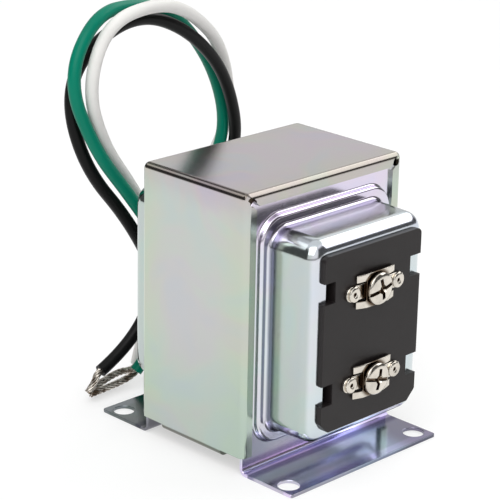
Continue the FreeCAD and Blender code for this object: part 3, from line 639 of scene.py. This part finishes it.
class TRANSFORMER_OT_board(bpy.types.Operator):
    """Moulded terminal board"""
    bl_idname = "transformer.board"
    bl_label = "Terminal board"

    def execute(self, context):
        terminals = context.scene.transformer.terminals
        board = build_material(
            "board_phenolic", terminals.board_colour, [0.7 * c for c in terminals.board_colour],
            metallic=0.0, rough=0.42, spread=0.12, scale=90, contrast=2.0, grain_scale=1200, bump=0.25,
            depth=3e-5, specular=0.3)
        refined("board", "terminal_board", board, terminals.edge)
        return {"FINISHED"}


def lathe(name, profile, steps=72):
    """Closed round piece from (radius, height) points in millimetres, its axis along -Y."""
    mesh = bpy.data.meshes.new(name)
    shell = bmesh.new()
    rings = []
    for radius, height in profile:
        if radius == 0:
            rings.append([shell.verts.new((0, -MM * height, 0))] * steps)
            continue
        rings.append([shell.verts.new((MM * radius * math.cos(2 * math.pi * i / steps), -MM * height,
                                       MM * radius * math.sin(2 * math.pi * i / steps)))
                      for i in range(steps)])
    for first, second in zip(rings, rings[1:]):
        for i in range(steps):
            j = (i + 1) % steps
            corners = dict.fromkeys((first[i], first[j], second[j], second[i]))
            if len(corners) > 2:
                shell.faces.new(tuple(corners))
    bmesh.ops.recalc_face_normals(shell, faces=shell.faces)
    shell.to_mesh(mesh)
    shell.free()
    return link_object(name, mesh)


def block(name, half_x, half_z, low, high):
    """Box standing on y = -low up to y = -high, in millimetres."""
    mesh = bpy.data.meshes.new(name)
    shell = bmesh.new()
    bmesh.ops.create_cube(shell, size=2 * MM)
    for vertex in shell.verts:
        vertex.co.x *= half_x
        vertex.co.z *= half_z
        vertex.co.y = -MM * (high if vertex.co.y < 0 else low)
    shell.to_mesh(mesh)
    shell.free()
    return link_object(name, mesh)


def screw_head(radius, height, slot_width):
    """Crowned pan head with a slot and a tapered cross, in millimetres."""
    slot_depth = 0.8
    cross_depth = 1.05
    pit_depth = 1.15
    chamfer = (0.12, 0.15)
    over = 1
    rim = 0.62 * height
    side = [(0, 0), (radius - chamfer[0], 0), (radius, chamfer[1]), (radius, rim * 0.75),
            (radius * 0.98, rim * 0.93)]
    crown = [(radius * 0.93 * math.sin(a), rim + (height - rim) * math.cos(a))
             for a in [math.pi / 2 * k / 10 for k in range(9, 0, -1)]]
    head = lathe("head", side + crown + [(0, height)])
    pit_profile = [(0, height - pit_depth), (0.7, height - pit_depth + 0.25), (1.25, height + 0.3),
                   (0, height + 0.3)]
    cutters = (
        block("slot", radius + over, slot_width / 2, height - slot_depth, height + over),
        block("cross", slot_width * 0.55, radius * 0.66, height - cross_depth, height + over),
        lathe("pit", pit_profile, 24),
    )
    for cutter in cutters:
        cut = head.modifiers.new(cutter.name, "BOOLEAN")
        cut.operation = "DIFFERENCE"
        cut.solver = "EXACT"
        cut.object = cutter
    applied(head)
    drop(*cutters)
    return rounded_edges(head, MM * 0.09, sharp=40)


def saddle(radius, ear_drop):
    """Square washer with four ears bent back at its corners."""
    half = 4.1
    notch = 2.35
    bend_inset = 0.35
    ear_taper = 0.04
    flat = radius - bend_inset
    reach = radius + 2.3
    columns = [-reach, -reach + 0.7, -reach + 1.4, -flat, -flat / 2, 0, flat / 2, flat, reach - 1.4,
               reach - 0.7, reach]
    rows = [-half, -half + 0.8, -notch, 0, notch, half - 0.8, half]
    near = 0.01
    shell = bmesh.new()

    def place(x, z):
        bend = max(0.0, (abs(x) - flat + bend_inset) / (reach - flat + bend_inset))
        return shell.verts.new((MM * x, MM * ear_drop * bend ** 1.2, MM * z * (1 - ear_taper * bend)))
    grid = [[place(x, z) for z in rows] for x in columns]
    for i in range(len(columns) - 1):
        for j in range(len(rows) - 1):
            outside = max(abs(columns[i]), abs(columns[i + 1])) > flat + near
            in_notch = max(abs(rows[j]), abs(rows[j + 1])) < notch + near
            if not (outside and in_notch):
                shell.faces.new((grid[i][j], grid[i + 1][j], grid[i + 1][j + 1], grid[i][j + 1]))
    loose = [vertex for vertex in shell.verts if not vertex.link_faces]
    bmesh.ops.delete(shell, geom=loose, context="VERTS")
    bmesh.ops.recalc_face_normals(shell, faces=shell.faces)
    mesh = bpy.data.meshes.new("saddle")
    shell.to_mesh(mesh)
    shell.free()
    piece = link_object("saddle", mesh)
    if mesh.polygons[0].normal.y > 0:
        mesh.flip_normals()
    wall = piece.modifiers.new("sheet", "SOLIDIFY")
    wall.thickness = MM * SADDLE_THICKNESS
    wall.offset = 1
    applied(piece)
    return rounded_edges(piece, MM * 0.12, segments=3, sharp=40)


def strip():
    """Narrow strip with round ends and a round middle for the thread."""
    end = STRIP_WIDTH / 2
    side = STRIP_LENGTH / 2 - end
    turns = [math.pi / 2 * k / 8 for k in range(9)]
    right = [(side + end * math.sin(a), end * math.cos(a)) for a in turns]
    start = math.asin(end / STRIP_MIDDLE_R)
    middle = [(STRIP_MIDDLE_R * math.cos(a), STRIP_MIDDLE_R * math.sin(a))
              for a in [start + (math.pi / 2 - start) * k / 10 for k in range(11)]]
    quarter = right[::-1] + middle
    half = quarter + [(-x, z) for x, z in quarter[::-1][1:]]
    outline = half + [(x, -z) for x, z in half[::-1][1:-1]]
    shell = bmesh.new()
    low, high = ([shell.verts.new((MM * x, -MM * height, MM * z)) for x, z in outline]
                 for height in (0, STRIP_THICKNESS))
    for corners in (low, high, *zip(low, low[1:] + low[:1], high[1:] + high[:1], high)):
        shell.faces.new(corners)
    bmesh.ops.recalc_face_normals(shell, faces=shell.faces)
    mesh = bpy.data.meshes.new("strip")
    shell.to_mesh(mesh)
    shell.free()
    return rounded_edges(link_object("strip", mesh), MM * 0.14, sharp=40)


def eyelet():
    """Rolled rim of a hollow rivet, with its bore."""
    roll_middle = (1.15, 0.28)
    roll_half = (0.72, 0.42)
    turns = [math.pi * k / 10 for k in range(11)]
    roll = [(roll_middle[0] + roll_half[0] * math.cos(a), roll_middle[1] + roll_half[1] * math.sin(a))
            for a in turns]
    shank = [(0, -0.9), (1.85, -0.05)]
    bore = [(0.42, -0.6), (0, -0.62)]
    return lathe("eyelet", shank + roll + bore, 40)


def end_geometry(tree, geometry, material, end):
    """Ends a Geometry Nodes tree with real geometry that has its material."""
    real = add(tree, "GeometryNodeRealizeInstances", {"Geometry": geometry})
    coated = add(tree, "GeometryNodeSetMaterial", {
        "Geometry": real.outputs["Geometry"], "Material": material})
    tree.links.new(coated.outputs["Geometry"], end)


def terminal_tree():
    """One piece repeated at the terminals: two heights, and one or two places across each."""
    tree, given, out = new_group("at_the_terminals", [
        ("Geometry", "Geometry", None), ("Piece", "Object", None),
        ("Face", "Float", 0.03), ("Middle", "Float", 0.034),
        ("Spacing", "Float", 0.022), ("Across", "Float", 0.0),
        ("Count Across", "Int", 1), ("Turn", "Float", 0.0),
        ("Material", "Material", None)],
        [("Geometry", "Geometry")], "GeometryNodeTree")
    maths = partial(node_maths, tree)
    start = vector(tree, X=maths("MULTIPLY", given["Across"], -0.5), Y=maths("MULTIPLY", given["Face"], -1.0),
                   Z=maths("MULTIPLY_ADD", given["Spacing"], -0.5, given["Middle"]))
    column = add(tree, "GeometryNodeMeshLine", {
        "Count": 2, "Start Location": start, "Offset": vector(tree, Z=given["Spacing"])})
    row = add(tree, "GeometryNodeMeshLine", {
        "Count": given["Count Across"], "Offset": vector(tree, X=given["Across"])})
    rows = add(tree, "GeometryNodeInstanceOnPoints", {
        "Points": column.outputs[0], "Instance": row.outputs[0]})
    places = add(tree, "GeometryNodeRealizeInstances", {"Geometry": rows.outputs["Instances"]})
    height = add(tree, "ShaderNodeSeparateXYZ", {
        "Vector": add(tree, "GeometryNodeInputPosition").outputs[0]}).outputs["Z"]
    above = maths("SIGN", maths("SUBTRACT", height, given["Middle"]))
    piece = add(tree, "GeometryNodeObjectInfo", {"Object": given["Piece"]})
    copies = add(tree, "GeometryNodeInstanceOnPoints", {
        "Points": places.outputs["Geometry"], "Instance": piece.outputs["Geometry"],
        "Rotation": vector(tree, Y=maths("MULTIPLY", above, given["Turn"]))})
    end_geometry(tree, copies.outputs["Instances"], given["Material"], out["Geometry"])
    return tree


def from_nodes(piece, tree, values):
    """Turns a piece into the plain mesh that a Geometry Nodes tree makes of it, its inputs set by name."""
    modifier = piece.modifiers.new("nodes", "NODES")
    modifier.node_group = tree
    for item in tree.interface.items_tree:
        if item.item_type == "SOCKET" and item.in_out == "INPUT" and item.name in values:
            modifier[item.identifier] = values[item.name]
    applied(piece)


class TRANSFORMER_OT_terminals(bpy.types.Operator):
    """Strips, eyelets, saddle washers and screws, repeated at both terminals"""
    bl_idname = "transformer.terminals"
    bl_label = "Screw terminals"

    def execute(self, context):
        terminals = context.scene.transformer.terminals
        nickel = build_material(
            "nickel_plate", terminals.nickel_colour, [0.72 * c for c in terminals.nickel_colour],
            metallic=1.0, rough=0.16, spread=0.12, scale=300, contrast=2.0, grain_scale=1500, bump=0.15,
            depth=2e-5)
        # Painted shade, dark brown, in the screw slots, round the screw heads and in the eyelets' bores
        recess_shaded = recess_shaded_copy(nickel, (0.10, 0.07, 0.045), terminals.head_radius)
        radius = terminals.head_radius / MM
        head = screw_head(radius, terminals.head_height / MM, terminals.slot_width / MM)
        head_plane = STRIP_FACE + SADDLE_THICKNESS + terminals.head_gap / MM
        # Name, shape, plane under it, spacing and count across, turn, start of its nodes' names, slot
        parts = (
            ("strips", strip(), BOARD_FACE, 0, 1, 0, "terminal_plate", "nickel_brass"),
            ("eyelets", eyelet(), STRIP_FACE, EYELET_SPACING, 2, 0, "eyelet", "nickel_brass"),
            ("saddles", saddle(radius, terminals.ear_drop / MM), STRIP_FACE, 0, 1, 0, "saddle_washer",
             "nickel_steel"),
            ("screws", head, head_plane, 0, 1, terminals.slot_turn, "terminal_screw", "nickel_steel"),
        )
        repeat = terminal_tree()
        for name, part, plane, across, count, turn, node, slot in parts:
            piece = link_object(name, bpy.data.meshes.new(name))
            from_nodes(piece, repeat, {
                "Piece": part, "Face": MM * plane, "Middle": MM * TERMINAL_MIDDLE,
                "Spacing": MM * TERMINAL_SPACING, "Across": MM * across, "Count Across": count, "Turn": turn,
                "Material": recess_shaded})
            drop(part)
            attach(piece, BODY)
            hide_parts(*[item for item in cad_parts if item.startswith(node)])
        dress(["solder_tag_upper", "solder_tag_lower", "ground_lug"], nickel)
        refined("rivet_ground", "ground_rivet", nickel, MM * 0.08)
        return {"FINISHED"}


def route_curve(name, points, radius=0.0):
    """NURBS curve of order 3 that reaches its ends, with its control points in millimetres."""
    curve = bpy.data.curves.new(name, "CURVE")
    curve.dimensions = "3D"
    curve.resolution_u = 16
    spline = curve.splines.new("NURBS")
    spline.points.add(len(points) - 1)
    for point, place in zip(spline.points, points):
        point.co = (*(MM * value for value in place), 1)
    spline.order_u = 3
    spline.use_endpoint_u = True
    curve.bevel_depth = radius
    curve.bevel_resolution = 8
    curve.use_fill_caps = radius > 0
    return link_object(name, curve)


def route_points(points):
    """Points of the smooth line that the control points give."""
    line = route_curve("line", points)
    mesh = evaluated_mesh(line)
    places = [vertex.co.copy() for vertex in mesh.vertices]
    curve = line.data
    bpy.data.objects.remove(line)
    bpy.data.curves.remove(curve)
    bpy.data.meshes.remove(mesh)
    return places


def line_mesh(name, places):
    """Chain of edges through points."""
    mesh = bpy.data.meshes.new(name)
    mesh.from_pydata(places, [(i, i + 1) for i in range(len(places) - 1)], [])
    return mesh


def strand_tree():
    """Strands laid round a line: one ring and a core, turned along the length."""
    tree, given, out = new_group("twisted_strands", [
        ("Geometry", "Geometry", None), ("Strand Radius", "Float", 0.0002),
        ("Ring Radius", "Float", 0.0006), ("Strands", "Int", 7),
        ("Lay Length", "Float", 0.011), ("Material", "Material", None)],
        [("Geometry", "Geometry")], "GeometryNodeTree")
    maths = partial(node_maths, tree)
    line = add(tree, "GeometryNodeMeshToCurve", {"Mesh": given["Geometry"]})
    along = add(tree, "GeometryNodeSplineParameter").outputs["Length"]
    angle = maths("MULTIPLY", maths("DIVIDE", along, given["Lay Length"]), 2 * math.pi)
    turned = add(tree, "GeometryNodeSetCurveTilt", {"Curve": line.outputs["Curve"], "Tilt": angle})
    small = add(tree, "GeometryNodeCurvePrimitiveCircle", {"Resolution": 8, "Radius": given["Strand Radius"]})
    ring = add(tree, "GeometryNodeMeshCircle", {"Vertices": given["Strands"], "Radius": given["Ring Radius"]})
    inner = add(tree, "GeometryNodeMeshCircle", {
        "Vertices": 4, "Radius": maths("MULTIPLY", given["Ring Radius"], 0.42)})
    places = add(tree, "GeometryNodeJoinGeometry")
    tree.links.new(ring.outputs["Mesh"], places.inputs["Geometry"])
    tree.links.new(inner.outputs["Mesh"], places.inputs["Geometry"])
    circles = add(tree, "GeometryNodeInstanceOnPoints",
                  {"Points": places.outputs["Geometry"], "Instance": small.outputs["Curve"]})
    profile = add(tree, "GeometryNodeRealizeInstances", {"Geometry": circles.outputs["Instances"]})
    bundle = add(tree, "GeometryNodeCurveToMesh", {
        "Curve": turned.outputs["Curve"], "Profile Curve": profile.outputs["Geometry"], "Fill Caps": True})
    shaded = add(tree, "GeometryNodeSetShadeSmooth", {"Geometry": bundle.outputs["Mesh"]})
    end_geometry(tree, shaded.outputs["Geometry"], given["Material"], out["Geometry"])
    return tree


class TRANSFORMER_OT_leads(bpy.types.Operator):
    """Three supply leads with bared, twisted ends, and their bushing"""
    bl_idname = "transformer.leads"
    bl_label = "Supply leads"

    def execute(self, context):
        leads = context.scene.transformer.leads
        tinned = plain_finish("tinned_copper")
        twist = strand_tree()
        strand_radius = leads.strand_diameter / 2
        for name, (bore, route, bare) in LEADS.items():
            colour = getattr(leads, name)
            vinyl = build_material(
                "vinyl_" + name, colour, [0.8 * c for c in colour], metallic=0.0, rough=0.36, spread=0.08,
                scale=70, contrast=1.5, grain_scale=500, bump=0.12, depth=4e-5, specular=0.14)
            dress([name + "_lead_inner"], vinyl)
            points = [(bore[0], BUSHING_FACE, bore[1])] + route
            lead = route_curve("lead_" + name + "_cord", points, leads.diameter / 2)
            lead.data.materials.append(vinyl)
            end = Vector(route[-1])
            along = (end - Vector(route[-2])).normalized()
            line = route_points([end, end + along * BARE_START, *bare])
            strands = link_object("strands_" + name + "_twist", line_mesh("strands_" + name, line))
            from_nodes(strands, twist, {
                "Strand Radius": strand_radius, "Ring Radius": MM * CONDUCTOR_R - strand_radius,
                "Lay Length": leads.lay_length, "Material": tinned})
            for piece, node, slot in ((lead, "lead_" + name, name + "_vinyl"),
                                      (strands, "strands_" + name, "tinned_copper")):
                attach(piece, BODY)
                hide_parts(node)
            places = route_points(points)
        refined("bushing", "lead_bushing", plain_finish("nylon_black"), MM * 0.1)
        return {"FINISHED"}


def look_from(azimuth, elevation):
    """Camera axes right, up and back for a direction in degrees."""
    a, e = math.radians(azimuth), math.radians(elevation)
    back = Vector((math.sin(a) * math.cos(e), -math.cos(a) * math.cos(e), math.sin(e)))
    right = Vector((math.cos(a), math.sin(a), 0))
    return right, back.cross(right), back


def placed(place, right, up, back):
    """Matrix of a camera or light at a place, with its axes."""
    return Matrix.Translation(place) @ Matrix((right, up, back)).transposed().to_4x4()


def soft_light(name, azimuth, elevation, distance, size, power):
    """Square area light aimed at the object."""
    light = bpy.data.lights.new(name, "AREA")
    light.size = size
    light.energy = power
    right, up, back = look_from(azimuth, elevation)
    middle = Vector((0, 0, 0.035))
    link_object(name, light).matrix_world = placed(middle + back * distance, right, up, back)


def soft_box_tree():
    """Mask of one rectangular soft box in the studio's surroundings, by azimuth and elevation in degrees."""
    tree, given, out = new_group("soft_box", [
        ("Azimuth", "Float", 0.0), ("Half Width", "Float", 30.0),
        ("Elevation", "Float", 30.0), ("Half Height", "Float", 15.0),
        ("Softness", "Float", 8.0)], [("Mask", "Float")])
    maths = partial(node_maths, tree)
    way = add(tree, "ShaderNodeSeparateXYZ", {
        "Vector": add(tree, "ShaderNodeTexCoord").outputs["Generated"]}).outputs
    azimuth = maths("DEGREES", maths("ARCTAN2", way["X"], maths("MULTIPLY", way["Y"], -1.0)))
    elevation = maths("DEGREES", maths("ARCSINE", way["Z"]))
    across = maths("ABSOLUTE", maths("WRAP", maths("SUBTRACT", azimuth, given["Azimuth"]), 180.0, -180.0))
    up = maths("ABSOLUTE", maths("SUBTRACT", elevation, given["Elevation"]))
    beyond = maths("MAXIMUM", maths("SUBTRACT", across, given["Half Width"]),
                   maths("SUBTRACT", up, given["Half Height"]))
    outside = soft_step(tree, beyond, 0.0, given["Softness"])
    tree.links.new(maths("SUBTRACT", 1.0, outside), out["Mask"])
    return tree


# Soft boxes round the object: azimuth, half width, elevation, half height, softness in degrees, brightness
SOFT_BOXES = (
    (0, 180, 80, 22, 16, 1.0),
    (78, 28, 36, 12, 6, 2.4),
    (140, 40, 16, 8, 8, 0.75),
    (126, 26, 37, 6, 5, 1.1),
    (-45, 34, 28, 18, 10, 0.9),
    (-154, 14, 42, 7, 5, 1.6),
)


def studio_world(room, boxes):
    """Dim room with soft boxes that the plating mirrors, and a plain white background for the camera."""
    world = bpy.data.worlds.new("studio")
    world.use_nodes = True
    tree = world.node_tree
    box_tree = soft_box_tree()
    total = room
    for azimuth, half_width, elevation, half_height, softness, brightness in SOFT_BOXES:
        mask = add(tree, "ShaderNodeGroup", {
            "Azimuth": azimuth, "Half Width": half_width, "Elevation": elevation,
            "Half Height": half_height, "Softness": softness}, node_tree=box_tree).outputs["Mask"]
        total = node_maths(tree, "MULTIPLY_ADD", mask, brightness * boxes, total)
    seen = add(tree, "ShaderNodeLightPath").outputs["Is Camera Ray"]
    strength = add(tree, "ShaderNodeMix", {"Factor": seen, "A": total, "B": 1.0})
    back = tree.nodes["Background"]
    back.inputs["Color"].default_value = (1, 1, 1, 1)
    tree.links.new(strength.outputs["Result"], back.inputs["Strength"])
    return world


def studio_floor(colour):
    """Pale floor that glows a little, so that it meets the white background."""
    mesh = bpy.data.meshes.new("floor")
    corners = [(x * FLOOR_HALF, y * FLOOR_HALF, -FLOOR_DROP) for x, y in ((-1, -1), (1, -1), (1, 1), (-1, 1))]
    mesh.from_pydata(corners, [], [(0, 1, 2, 3)])
    floor = link_object("floor", mesh)
    paint = bpy.data.materials.new("floor_paint")
    paint.use_nodes = True
    shader = paint.node_tree.nodes["Principled BSDF"]
    for key, value in (("Base Color", (*colour, 1)), ("Roughness", 0.9), ("Specular IOR Level", 0.1),
                       ("Emission Color", (1, 1, 1, 1)), ("Emission Strength", FLOOR_GLOW)):
        shader.inputs[key].default_value = value
    mesh.materials.append(paint)


def photograph_camera():
    """Camera that stands and looks as the photograph's did."""
    camera = bpy.data.cameras.new("photograph")
    camera.sensor_width = SENSOR
    camera.lens = CAMERA_FOCAL / PICTURE * SENSOR
    camera.clip_start, camera.clip_end = 0.01, 20
    item = link_object("photograph", camera)
    right, up, back = look_from(CAMERA_AZIMUTH, CAMERA_ELEVATION)
    roll = math.radians(CAMERA_ROLL)
    across = math.cos(roll) * right + math.sin(roll) * up
    upward = -math.sin(roll) * right + math.cos(roll) * up
    aim = Vector(CAMERA_AIM) + CAMERA_SHIFT[0] * across + CAMERA_SHIFT[1] * upward
    item.matrix_world = placed(MM * (aim + CAMERA_DISTANCE * back), across, upward, back)
    return item


class TRANSFORMER_OT_stage(bpy.types.Operator):
    """Pale floor, soft light and the photograph's camera"""
    bl_idname = "transformer.stage"
    bl_label = "Stage"

    def execute(self, context):
        stage = context.scene.transformer.stage
        studio_floor(stage.floor_colour)
        soft_light("key", -60, 50, 0.9, 0.7, stage.key_power)
        context.scene.world = studio_world(stage.room, stage.boxes)
        context.scene.view_settings.view_transform = "Standard"
        context.scene.camera = photograph_camera()
        return {"FINISHED"}


OPERATORS = (TRANSFORMER_OT_groups, TRANSFORMER_OT_sheet_metal, TRANSFORMER_OT_core, TRANSFORMER_OT_board,
             TRANSFORMER_OT_terminals, TRANSFORMER_OT_leads, TRANSFORMER_OT_stage)
SETTINGS = (SheetMetalSettings, TerminalSettings, LeadSettings, StageSettings, TransformerSettings)


class TRANSFORMER_PT_panel(bpy.types.Panel):
    """Settings and steps of the transformer"""
    bl_label = "Doorbell transformer"
    bl_idname = "TRANSFORMER_PT_panel"
    bl_space_type = "VIEW_3D"
    bl_region_type = "UI"
    bl_category = "Transformer"

    def draw(self, context):
        settings = context.scene.transformer
        for group in (settings.metal, settings.terminals, settings.leads, settings.stage):
            box = self.layout.box()
            for key in group.__annotations__:
                box.prop(group, key)
        for operator in OPERATORS:
            self.layout.operator(operator.bl_idname)


def register():
    for item in (*SETTINGS, *OPERATORS, TRANSFORMER_PT_panel):
        bpy.utils.register_class(item)
    bpy.types.Scene.transformer = bpy.props.PointerProperty(type=TransformerSettings)


def unregister():
    del bpy.types.Scene.transformer
    for item in reversed((*SETTINGS, *OPERATORS, TRANSFORMER_PT_panel)):
        bpy.utils.unregister_class(item)


def main():
    register()
    for operator in OPERATORS:
        group, name = operator.bl_idname.split(".")
        getattr(getattr(bpy.ops, group), name)()
    bpy.context.view_layer.update()


if __name__ == "__main__":
    main()
